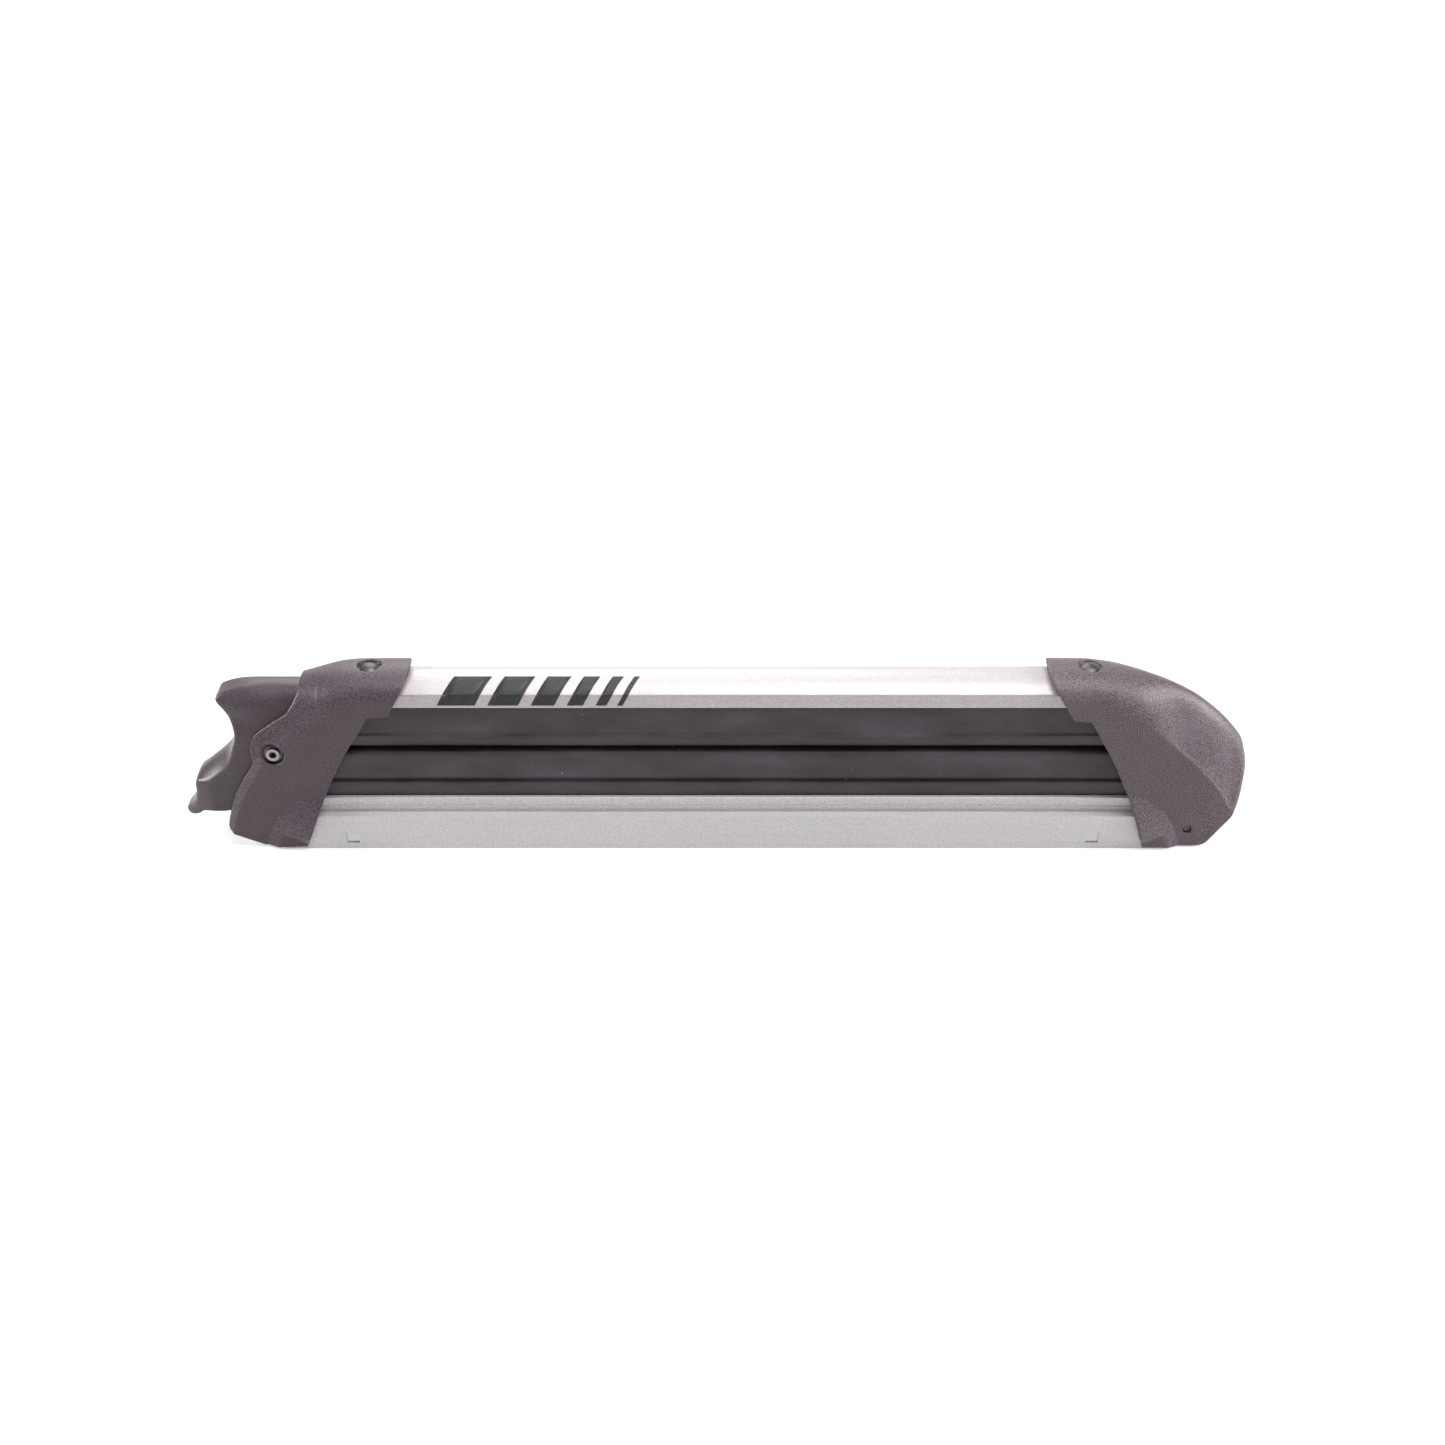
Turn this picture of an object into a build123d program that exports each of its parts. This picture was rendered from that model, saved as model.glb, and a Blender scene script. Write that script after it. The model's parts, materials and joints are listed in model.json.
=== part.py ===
from build123d import *
import math
import os

# Roof ski rack: one carrier unit, closed. Millimetres.
# +X runs along the bar to the hinge end, -X to the latch end, +Z is up.
# The origin is under the middle of the bar, on the plane of the base rail's lower edges.

# ---------------------------------------------------------------- driving dimensions
base_length = 500.0  # base rail, end to end
base_offset = 5.25  # middle of the base rail, from the origin along X
rail_half = 16.0  # half width of the arm and of the base rail's pad channel
rail_wall = 2.0  # wall of both extrusions
lip_width = 2.4  # inward lips that hold the pads
lip_thick = 1.8
skirt_height = 21.5  # side skirts of the base rail
ledge_depth = 6.0  # shoulder between pad channel and skirt
channel_height = 8.8  # pad channel of the base rail, above the shoulder
step_height = 3.2  # thicker foot of the channel walls
step_depth = 0.6
corner_trim = 9.0  # the skirts' top corners are cut off at both ends, inside the caps
lower_pad_height = 29.1  # pad above the base rail
upper_pad_height = 28.0  # pad below the arm rail
pad_gap = 2.3  # between the closed pads
pad_bulge = 0.5  # how far a pad stays inside the rail's sides
arm_side = 7.8  # straight side of the arm rail
crown_rise = 6.5  # crowned top of the arm rail
arm_start_inset = 41.0  # arm rail starts this far in from the base rail's latch end
arm_end_inset = 33.0
cap_wall = 4.2  # moulded end caps
flare_extra = 2.5  # thicker wall of the caps' flared feet
lever_half = rail_half  # half width of the release lever
hinge_reach = 15.2  # hinge pin axis, beyond the base rail's end
hinge_height = 11.7  # hinge pin axis, above the resting plane
hinge_pin_d = 5.0
lever_pin_d = 5.0
strike_pin_d = 6.0
hook_thick = 4.0
bolt_square = 7.2  # square holes for the clamp bolts
bolt_inset = 38.8  # square holes, from the rail's ends
bolt_height = 7.2
cap_rivet_inset = 12.5  # cap rivets, from the arm rail's ends
cap_rivet_d = 6.0
block_screw_d = 5.0
block_screw_y = 8.0  # screws through the base rail's deck, from its middle line
block_screw_inset = 8.5  # and from its ends

# ---------------------------------------------------------------- fits
pad_play = 0.3  # rubber to metal
cap_play = 0.4  # cap to rail
cheek_play = 0.5  # cap to the parts that turn inside it
running_fit = 0.05  # pins in bores, radial

# ---------------------------------------------------------------- derived levels
base_start = base_offset - base_length / 2
base_end = base_offset + base_length / 2
skirt_half = rail_half + ledge_depth
base_top = skirt_height + channel_height
lip_level = base_top + lower_pad_height + pad_gap + upper_pad_height
side_top = lip_level + arm_side
arm_top = side_top + crown_rise
arm_start = base_start + arm_start_inset
arm_end = base_end - arm_end_inset
cap_top = arm_top + cap_play + cap_wall
cheek_in = rail_half + cheek_play
cheek_out = cheek_in + cap_wall
flare_in = skirt_half + cheek_play
flare_out = flare_in + cap_wall + flare_extra
pivot_x = base_start - 1.7
pivot_z = lip_level - 28.5
pivot = (pivot_x, pivot_z)
dome_rise = 13.0  # the caps' dome, from its sides to its crown
dome_inset = 0.3  # the domed hollow stays this far inside the straight cuts through it
hinge_x = base_end + hinge_reach
hinge_screw_x = base_end - block_screw_inset
latch_screw_x = base_start + block_screw_inset
reach = 40.0  # cutters run this far past the part
rail_room = 60.0  # length of the room inside a cap for the end of a rail
flare_overlap = 28.0  # the caps' flared feet over the ends of the base rail
flare_lead = 7.0  # the hinge cap's feet start this much further in, for their round corner
flare_past = 5.0  # the feet run this far past the base rail's ends

FRONT = Plane.XZ


def export(part, label):
    """Label one finished piece and write it as a STEP file of its own."""
    part.label = label
    export_step(part, f"parts/{label}.step")


def disc(plane, centre, diameter):
    """Round sketch on a plane, for bores and counterbores."""
    with BuildSketch(plane) as section:
        with Locations(centre):
            Circle(diameter / 2)
    return section.sketch


def arch(x, apex, shoulder, half, foot, fullness):
    """Domed section standing across the bar at x: a crown above two upright sides.

    The crown rises from the shoulders as half * sin(a) against cos(a) ** fullness.
    """
    steps = 5
    crown_points = []
    for i in range(-steps, steps + 1):
        angle = math.radians(90 * i / steps)
        rise = max(math.cos(angle), 0.0) ** fullness
        crown_points.append((half * math.sin(angle), shoulder + (apex - shoulder) * rise))
    with BuildSketch(Plane.YZ.offset(x)) as section:
        with BuildLine():
            crown = Spline(*crown_points)
            Polyline(crown @ 1, (half, foot), (-half, foot), crown @ 0)
        make_face()
    return section.sketch


os.makedirs("parts", exist_ok=True)

# ---------------------------------------------------------------- base rail
with BuildPart() as base_rail:
    with BuildSketch(Plane.YZ.offset(base_start)):
        with BuildLine():
            Polyline(
                (-skirt_half, 0),
                (-skirt_half, skirt_height),
                (-rail_half - step_depth, skirt_height),
                (-rail_half - step_depth, skirt_height + step_height),
                (-rail_half, skirt_height + step_height),
                (-rail_half, base_top),
                (rail_half, base_top),
                (rail_half, skirt_height + step_height),
                (rail_half + step_depth, skirt_height + step_height),
                (rail_half + step_depth, skirt_height),
                (skirt_half, skirt_height),
                (skirt_half, 0),
                close=True,
            )
        make_face()
        under_deck = skirt_height - rail_wall
        with Locations((0, under_deck / 2)):
            Rectangle(2 * (skirt_half - rail_wall), under_deck, mode=Mode.SUBTRACT)
        channel_clear = channel_height - lip_thick
        with Locations((0, skirt_height + channel_clear / 2)):
            Rectangle(2 * (rail_half - rail_wall), channel_clear, mode=Mode.SUBTRACT)
        with Locations((0, base_top - lip_thick / 2)):
            Rectangle(2 * (rail_half - rail_wall - lip_width), lip_thick, mode=Mode.SUBTRACT)
    extrude(amount=base_length)
    with BuildSketch(FRONT):
        with Locations((base_start + bolt_inset, bolt_height), (base_end - bolt_inset, bolt_height)):
            Rectangle(bolt_square, bolt_square)
    extrude(amount=skirt_half + reach, both=True, mode=Mode.SUBTRACT)
    for x in (latch_screw_x, hinge_screw_x):
        for y in (-block_screw_y, block_screw_y):
            hole = disc(Plane.XY.offset(skirt_height + 1), (x, y), block_screw_d + 2 * running_fit)
            extrude(hole, amount=-rail_wall - 2, mode=Mode.SUBTRACT)
    for end, inward in ((base_start, 1), (base_end, -1)):
        for side in (1, -1):
            with BuildSketch(FRONT.offset(side * (rail_half + step_depth))):
                with BuildLine():
                    Polyline(
                        (end - inward, skirt_height - corner_trim - 1),
                        (end - inward, skirt_height + 1),
                        (end + inward * (corner_trim + 1), skirt_height + 1),
                        close=True,
                    )
                make_face()
            extrude(amount=side * ledge_depth, mode=Mode.SUBTRACT)
    long_edges = base_rail.edges().filter_by(Axis.X)
    fillet(long_edges.group_by(Axis.Z)[-1].sort_by(Axis.Y)[0::3], 0.5)
export(base_rail.part, "base_rail")

# ---------------------------------------------------------------- rubber pads
pad_foot_half = rail_half - rail_wall - pad_play
pad_neck_half = rail_half - rail_wall - lip_width - pad_play
pad_half = rail_half - pad_bulge
lobe_split = 0.39  # the crease of the lower pad, as the lobe nearest the rail over the height
lower_pad_start = base_start + 18.0
lower_pad_end = base_end - 16.0


def pad_section(x, seat, foot, neck, lobe, height, inset, direction):
    """Section of a pad at x: foot in the channel, neck through the lips, two lobes."""
    crease = neck + direction * lobe * height
    tip = neck + direction * height
    right = [
        (pad_foot_half, seat),
        (pad_foot_half, foot),
        (pad_neck_half, foot),
        (pad_neck_half, neck + direction * pad_play),
        (pad_half - inset[0], neck + direction * pad_play),
        (pad_half - inset[0], crease - direction * 0.9),
        (pad_half - inset[0] - 0.9, crease),
        (pad_half - inset[1], crease + direction * 0.9),
        (pad_half - inset[1], tip - direction * 2.0),
        (pad_half - inset[1] - 2.2, tip),
    ]
    left = [(-y, z) for y, z in reversed(right)]
    with BuildSketch(Plane.YZ.offset(x)) as section:
        with BuildLine():
            Polyline(*right, *left, close=True)
        make_face()
    return section.sketch


with BuildPart() as lower_pad:
    lower_section = pad_section(
        lower_pad_start,
        skirt_height + pad_play,
        base_top - lip_thick - pad_play,
        base_top,
        lobe_split,
        lower_pad_height,
        (1.0, 0.0),
        1,
    )
    extrude(lower_section, amount=lower_pad_end - lower_pad_start)
export(lower_pad.part, "lower_pad")

upper_pad_start = arm_start - 5.0
upper_pad_end = arm_end + 3.0
web_under = side_top - 1.3  # underside of the arm rail's web
upper_lobe = 0.68
with BuildPart() as upper_pad:
    upper_section = pad_section(
        upper_pad_start,
        web_under - pad_play,
        lip_level + lip_thick + pad_play,
        lip_level,
        upper_lobe,
        upper_pad_height,
        (0.5, 2.0),
        -1,
    )
    extrude(upper_section, amount=upper_pad_end - upper_pad_start)
export(upper_pad.part, "upper_pad")

# ---------------------------------------------------------------- arm rail
hollow_half = rail_half - rail_wall - 1.6
hollow_floor = web_under + rail_wall
rivet_bush_d = 8.5
with BuildPart() as arm_rail:
    with BuildSketch(Plane.YZ.offset(arm_start)):
        with BuildLine():
            crown = ThreePointArc((-rail_half, side_top), (0, arm_top), (rail_half, side_top))
            Polyline(crown @ 1, (rail_half, lip_level), (-rail_half, lip_level), crown @ 0)
        make_face()
        channel_clear = web_under - lip_level - lip_thick
        with Locations((0, lip_level + lip_thick + channel_clear / 2)):
            Rectangle(2 * (rail_half - rail_wall), channel_clear, mode=Mode.SUBTRACT)
        with Locations((0, lip_level + lip_thick / 2)):
            Rectangle(2 * (rail_half - rail_wall - lip_width), lip_thick, mode=Mode.SUBTRACT)
        with BuildLine():
            vault = ThreePointArc(
                (-hollow_half, hollow_floor + 0.4),
                (0, arm_top - rail_wall),
                (hollow_half, hollow_floor + 0.4),
            )
            Polyline(vault @ 1, (hollow_half, hollow_floor), (-hollow_half, hollow_floor), vault @ 0)
        make_face(mode=Mode.SUBTRACT)
    extrude(amount=arm_end - arm_start)
    cap_rivet_xs = (arm_start + cap_rivet_inset, arm_end - cap_rivet_inset)
    with BuildSketch(Plane.XY.offset(web_under - 1)):
        with Locations(*[(x, 0) for x in cap_rivet_xs]):
            Circle(rivet_bush_d / 2)
    extrude(amount=reach, mode=Mode.SUBTRACT)
    shoulder_edges = arm_rail.edges().filter_by(Axis.X).filter_by_position(
        Axis.Z, side_top - 0.1, side_top + 0.1
    )
    fillet(shoulder_edges.sort_by(Axis.Y)[0::max(len(shoulder_edges) - 1, 1)], 1.6)
export(arm_rail.part, "arm_rail")

# ---------------------------------------------------------------- cap rivets and their bushes
rivet_bush_top = arm_top - 0.4
head_d = 10.6
head_height = 2.6
dome_height = 2.0
dome_r = ((head_d / 2) ** 2 + dome_height**2) / (2 * dome_height)
recess_d = 13.2
recess_floor = cap_top - head_height
shank_end = web_under + 0.6
with BuildPart() as cap_rivet_bushes:
    with BuildSketch(Plane.XY.offset(web_under)):
        with Locations(*[(x, 0) for x in cap_rivet_xs]):
            Circle(rivet_bush_d / 2)
            Circle(cap_rivet_d / 2 + running_fit, mode=Mode.SUBTRACT)
    extrude(amount=rivet_bush_top - web_under)
export(cap_rivet_bushes.part, "cap_rivet_bushes")

with BuildPart() as cap_rivets:
    for x in cap_rivet_xs:
        with BuildSketch(Plane.XZ):
            with BuildLine():
                dome = RadiusArc((x + head_d / 2, cap_top - dome_height), (x, cap_top), -dome_r)
                Polyline(
                    dome @ 1,
                    (x, shank_end),
                    (x + cap_rivet_d / 2, shank_end),
                    (x + cap_rivet_d / 2, recess_floor),
                    (x + head_d / 2, recess_floor),
                    dome @ 0,
                )
            make_face()
        revolve(axis=Axis((x, 0, 0), (0, 0, 1)))
export(cap_rivets.part, "cap_rivets")


# ---------------------------------------------------------------- end caps, shared steps
def flare_section(x):
    """Outward flare of both cheeks over the end of the base rail's skirts."""
    rise = base_top + 6.7
    rim = 5.0
    with BuildSketch(Plane.YZ.offset(x)) as section:
        with BuildLine():
            Polyline(
                (-cheek_out, 0),
                (-flare_out, 0),
                (-flare_out, rim),
                (-cheek_out, rise),
                (cheek_out, rise),
                (flare_out, rim),
                (flare_out, 0),
                close=True,
            )
        make_face()
    return section.sketch


def arm_section(x):
    """Room inside a cap for the end of the arm rail."""
    with BuildSketch(Plane.YZ.offset(x)) as section:
        with BuildLine():
            crown = ThreePointArc(
                (-cheek_in, side_top + cap_play), (0, arm_top + cap_play), (cheek_in, side_top + cap_play)
            )
            Polyline(crown @ 1, (cheek_in, 0), (-cheek_in, 0), crown @ 0)
        make_face()
    return section.sketch


def pocket_section(x):
    """Room inside a cap for the end of the base rail, with its shoulder."""
    with BuildSketch(Plane.YZ.offset(x)) as section:
        with BuildLine():
            Polyline(
                (-flare_in, -1),
                (-flare_in, skirt_height + cheek_play),
                (-cheek_in, base_top + cheek_play),
                (cheek_in, base_top + cheek_play),
                (flare_in, skirt_height + cheek_play),
                (flare_in, -1),
                close=True,
            )
        make_face()
    return section.sketch


def cap_rivet_recess(x):
    """Counterbored hole for the domed rivet that holds a cap on the arm rail."""
    extrude(disc(Plane.XY.offset(recess_floor), (x, 0), recess_d), amount=reach, mode=Mode.SUBTRACT)
    shank = disc(Plane.XY.offset(arm_top - 1), (x, 0), cap_rivet_d + cap_play)
    extrude(shank, amount=reach, mode=Mode.SUBTRACT)


# ---------------------------------------------------------------- hinge cap
nose_x = hinge_x + 33.0
# station: x, crown height, crease height, half width, fullness of the crown
hinge_stations = [
    (arm_end - 46.0, cap_top, cap_top - dome_rise, cheek_out, 1.0),
    (arm_end - 10.0, cap_top, cap_top - dome_rise, cheek_out, 1.0),
    (hinge_x - 33.0, cap_top - 3.4, pivot_z + 22.0, cheek_out + 0.2, 1.05),
    (hinge_x - 11.0, cap_top - 12.2, pivot_z + 3.0, cheek_out + 0.2, 1.2),
    (hinge_x + 6.0, cap_top - 23.2, hinge_height + 37.0, cheek_out - 0.6, 1.4),
    (hinge_x + 20.0, cap_top - 35.0, hinge_height + 21.0, cheek_out - 1.8, 1.5),
    (nose_x, cap_top - 56.0, hinge_height + 10.0, cheek_out - 5.0, 1.5),
]
hinge_edge_top = (arm_end - 38.5, cap_top + 0.6)
hinge_edge_step = (arm_end - 22.0, lip_level - 5.0)
hinge_edge_notch = (hinge_edge_step[0] + 9.7, hinge_edge_step[1] - 1.0)
hinge_edge_foot = (base_end - 10.0, 1.2)

with BuildPart() as hinge_cap:
    loft([arch(x, apex, crease, half, 0, fullness) for x, apex, crease, half, fullness in hinge_stations])
    hinge_flare = flare_section(base_end - flare_overlap - flare_lead)
    extrude(hinge_flare, amount=flare_overlap + flare_lead + flare_past)
    with BuildSketch(FRONT):
        with BuildLine():
            inner = SagittaArc(hinge_edge_notch, hinge_edge_foot, -2.8)
            Polyline(
                inner @ 1,
                (hinge_x + 3.0, 0),
                (hinge_x + 9.5, 0.6),
                (hinge_x + 13.4, 2.9),
                (hinge_x + 24.6, 18.9),
                (nose_x + 1, 24.0),
                (nose_x + 1, cap_top + reach),
                (hinge_edge_top[0], cap_top + reach),
                hinge_edge_top,
                hinge_edge_step,
                inner @ 0,
            )
        make_face()
    extrude(amount=flare_out + 1, both=True, mode=Mode.INTERSECT)
    hollow = []
    for x, apex, crease, half, fullness in hinge_stations:
        wall_x = x - cap_wall if x > hinge_x else x
        inner_half = min(half - cap_wall, cheek_in) - dome_inset
        hollow.append(arch(wall_x, apex - cap_wall, crease - 1.0, inner_half, -1, fullness))
    loft(hollow, mode=Mode.SUBTRACT)
    extrude(arm_section(upper_pad_end + cap_play), amount=-rail_room, mode=Mode.SUBTRACT)
    extrude(pocket_section(base_end + cheek_play), amount=-rail_room, mode=Mode.SUBTRACT)
    with BuildSketch(FRONT):
        with Locations((base_end, hinge_height)):
            Rectangle(2 * hinge_reach, hinge_height + 1, align=(Align.CENTER, Align.MAX))
        with Locations((hinge_x, hinge_height)):
            Circle(hinge_reach - cheek_play, mode=Mode.SUBTRACT)
    extrude(amount=flare_in, both=True, mode=Mode.SUBTRACT)  # room for the base's foot as the arm swings
    cap_rivet_recess(cap_rivet_xs[1])
    pin_bore = disc(FRONT, (hinge_x, hinge_height), hinge_pin_d + 2 * running_fit)
    extrude(pin_bore, amount=flare_out + 1, both=True, mode=Mode.SUBTRACT)
export(hinge_cap.part, "hinge_cap")

# ---------------------------------------------------------------- latch cap
# station: x, crown height, crease height, half width
lip_x = pivot_x + 16.7
latch_stations = [
    (pivot_x - 34.0, cap_top - 16.0, pivot_z + 18.0, cheek_out),
    (lip_x, cap_top - 7.3, pivot_z + 26.0, cheek_out),
    (lip_x + 12.0, cap_top - 3.4, pivot_z + 30.0, cheek_out),
    (arm_start - 2.0, cap_top - 0.6, cap_top - dome_rise, cheek_out),
    (arm_start + 12.0, cap_top, cap_top - dome_rise, cheek_out),
    (arm_start + 46.0, cap_top, cap_top - dome_rise, cheek_out),
]
latch_edge_top = (arm_start + 37.0, cap_top + 1.4)
latch_edge_step = (arm_start + 23.4, lip_level - 3.6)
latch_edge_notch = (latch_edge_step[0] - 11.8, latch_edge_step[1] - 1.1)
latch_edge_foot = (base_start + 13.0, 3.0)
hub_r = 12.4
lever_sweep_r = 42.6  # circle about the lever's pivot that the lever stays inside
pivot_recess_d = 12.6
pivot_recess = 3.2

with BuildPart() as latch_cap:
    loft([arch(x, apex, crease, half, 0, 1.0) for x, apex, crease, half in latch_stations])
    extrude(flare_section(base_start - flare_past), amount=flare_overlap + flare_past)
    with BuildSketch(FRONT):
        with BuildLine():
            inner = SagittaArc(latch_edge_notch, latch_edge_foot, 2.6)
            bottom = Polyline(
                inner @ 1,
                (pivot_x - 10.6, 1.3),
                (pivot_x - 27.6, 8.3),
                (pivot_x - 30.6, 13.8),
            )
            left = SagittaArc(bottom @ 1, (pivot_x - 11.4, pivot_z - 5.0), 4.0)
            hub = RadiusArc(left @ 1, (pivot_x - 9.2, pivot_z + 8.3), hub_r)
            seam = Spline(
                hub @ 1,
                (pivot_x + 2.7, pivot_z + 20.8),
                (pivot_x + 8.9, pivot_z + 24.5),
                (pivot_x + 13.7, pivot_z + 31.2),
                (lip_x, cap_top - 6.0),
            )
            Polyline(
                seam @ 1,
                (lip_x, cap_top + reach),
                (latch_edge_top[0], cap_top + reach),
                latch_edge_top,
                latch_edge_step,
                inner @ 0,
            )
        make_face()
    extrude(amount=flare_out + 1, both=True, mode=Mode.INTERSECT)
    hollow = [
        arch(x, apex - cap_wall, crease - 1.0, cheek_in - dome_inset, -1, 1.0)
        for x, apex, crease, half in latch_stations
    ]
    loft(hollow, mode=Mode.SUBTRACT)
    extrude(arm_section(arm_start - cap_play), amount=rail_room, mode=Mode.SUBTRACT)
    sweep_room = disc(FRONT, pivot, 2 * lever_sweep_r)
    extrude(sweep_room, amount=cheek_in, both=True, mode=Mode.SUBTRACT)
    extrude(pocket_section(base_start - cheek_play), amount=rail_room, mode=Mode.SUBTRACT)
    cap_rivet_recess(cap_rivet_xs[0])
    pin_bore = disc(FRONT, pivot, lever_pin_d + 2 * running_fit)
    extrude(pin_bore, amount=flare_out + 1, both=True, mode=Mode.SUBTRACT)
    for side in (1, -1):
        recess = disc(FRONT.offset(side * (cheek_out - pivot_recess)), pivot, pivot_recess_d)
        extrude(recess, amount=side * reach, mode=Mode.SUBTRACT)
export(latch_cap.part, "latch_cap")

# ---------------------------------------------------------------- hinge block, pin and bush
plug_half = rail_half - cap_play
plug_top = skirt_height - rail_wall - 0.1
plug_depth = 28.0
plug_floor = 1.2
block_half = cheek_in - 2.5
bush_wall = 1.0
block_screw_head = 8.6
block_screw_head_height = 2.6
block_screw_grip = 9.0
block_screw_hex_r = 1.7


def deck_screws(x):
    """Two pan-head screws that hold a block under the base rail's deck."""
    with BuildPart() as screws:
        for y in (-block_screw_y, block_screw_y):
            head = disc(Plane.XY.offset(skirt_height), (x, y), block_screw_head)
            extrude(head, amount=block_screw_head_height)
            shank = disc(Plane.XY.offset(skirt_height), (x, y), block_screw_d)
            extrude(shank, amount=-rail_wall - block_screw_grip)
            with BuildSketch(Plane.XY.offset(skirt_height + block_screw_head_height / 2)):
                with Locations((x, y)):
                    RegularPolygon(block_screw_hex_r, 6)
            extrude(amount=2, mode=Mode.SUBTRACT)
    return screws.part


knuckle_r = 9.4
plate_thick = 3.2  # end plate of the hinge block
plate_floor = 0.8
with BuildPart() as hinge_block:
    with BuildSketch(Plane.XY.offset(plug_floor)):
        with Locations((base_end - plug_depth / 2, 0)):
            Rectangle(plug_depth, 2 * plug_half)
    extrude(amount=plug_top - plug_floor)
    with BuildSketch(Plane.XY.offset(plate_floor)):
        with Locations((base_end + plate_thick / 2, 0)):
            Rectangle(plate_thick, 2 * block_half)
    extrude(amount=skirt_height - plate_floor)
    with BuildSketch(FRONT):
        with Locations((hinge_x, hinge_height)):
            Circle(knuckle_r)
        with Locations(((base_end + hinge_x) / 2, hinge_height)):
            Rectangle(hinge_reach, 2 * knuckle_r - 1.2)
    extrude(amount=block_half, both=True)
    bush_seat = disc(FRONT, (hinge_x, hinge_height), hinge_pin_d + 2 * bush_wall)
    extrude(bush_seat, amount=block_half + 1, both=True, mode=Mode.SUBTRACT)
    for y in (-block_screw_y, block_screw_y):
        hole = disc(Plane.XY.offset(plug_top), (hinge_screw_x, y), block_screw_d)
        extrude(hole, amount=-block_screw_grip - 1, mode=Mode.SUBTRACT)
export(hinge_block.part, "hinge_block")

with BuildPart() as hinge_bush:
    with BuildSketch(FRONT):
        with Locations((hinge_x, hinge_height)):
            Circle(hinge_pin_d / 2 + bush_wall)
            Circle(hinge_pin_d / 2 + running_fit, mode=Mode.SUBTRACT)
    extrude(amount=block_half + 0.3, both=True)
export(hinge_bush.part, "hinge_bush")

pin_depth = 1.6  # how far the pin's ends lie inside the cap's sides
with BuildPart() as hinge_pin:
    extrude(disc(FRONT, (hinge_x, hinge_height), hinge_pin_d), amount=cheek_out - pin_depth, both=True)
    chamfer(hinge_pin.edges().filter_by(GeomType.CIRCLE), 0.4)
export(hinge_pin.part, "hinge_pin")

export(deck_screws(hinge_screw_x), "hinge_block_screws")

# ---------------------------------------------------------------- strike block and strike pin
strike_x = pivot_x - 16.8
strike_z = 11.0
ear_in = hook_thick / 2 + 4.0
ear_out = ear_in + 5.5
ear_r = 6.6
hook_swing = 4.0  # the slot for the hook, inward from the base rail's end
with BuildPart() as strike_block:
    with BuildSketch(Plane.XY.offset(plug_floor)):
        with Locations((base_start + plug_depth / 2, 0)):
            Rectangle(plug_depth, 2 * plug_half)
    extrude(amount=plug_top - plug_floor)
    with BuildSketch(FRONT):
        with BuildLine():
            Polyline(
                (base_start + 1, plug_floor),
                (base_start + 1, plug_top),
                (strike_x, strike_z + ear_r),
                (strike_x - ear_r, strike_z),
                (strike_x - 2.0, strike_z - ear_r),
                (base_start - 6.0, plug_floor),
                close=True,
            )
        make_face()
    extrude(amount=ear_out, both=True)
    slot_length = base_start + hook_swing - strike_x + 2 * ear_r
    with BuildSketch(Plane.XY.offset(-1)):
        with Locations((base_start + hook_swing, 0)):
            Rectangle(slot_length, 2 * ear_in, align=(Align.MAX, Align.CENTER))
    extrude(amount=reach, mode=Mode.SUBTRACT)
    pin_seat = disc(FRONT, (strike_x, strike_z), strike_pin_d)
    extrude(pin_seat, amount=ear_out + 1, both=True, mode=Mode.SUBTRACT)
    for y in (-block_screw_y, block_screw_y):
        hole = disc(Plane.XY.offset(plug_top), (latch_screw_x, y), block_screw_d)
        extrude(hole, amount=-block_screw_grip - 1, mode=Mode.SUBTRACT)
export(strike_block.part, "strike_block")

with BuildPart() as strike_pin:
    extrude(disc(FRONT, (strike_x, strike_z), strike_pin_d), amount=ear_out + 0.8, both=True)
    chamfer(strike_pin.edges().filter_by(GeomType.CIRCLE), 0.5)
export(strike_pin.part, "strike_pin")

export(deck_screws(latch_screw_x), "strike_block_screws")

# ---------------------------------------------------------------- latch hook
pin_angle = math.atan2(pivot_x - strike_x, pivot_z - strike_z)
tooth_r = math.hypot(pivot_x - strike_x, pivot_z - strike_z) + strike_pin_d / 2 + cap_play
tooth_thick = 4.0
shank_left = strike_x + strike_pin_d / 2 + 0.8
shank_wide = 5.5
hook_eye_r = 9.0
rivet_d = 4.0
lever_bush_wall = 1.5
rivet_places = ((pivot_x - 3.5, pivot_z - 15.5), (pivot_x + 1.0, pivot_z + 14.5))


def about_pivot(radius, x=None, angle=None):
    """Point below the lever's pivot on a circle about it, at an x or at an angle from plumb."""
    swing = math.asin((pivot_x - x) / radius) if angle is None else angle
    return (pivot_x - radius * math.sin(swing), pivot_z - radius * math.cos(swing))


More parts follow.
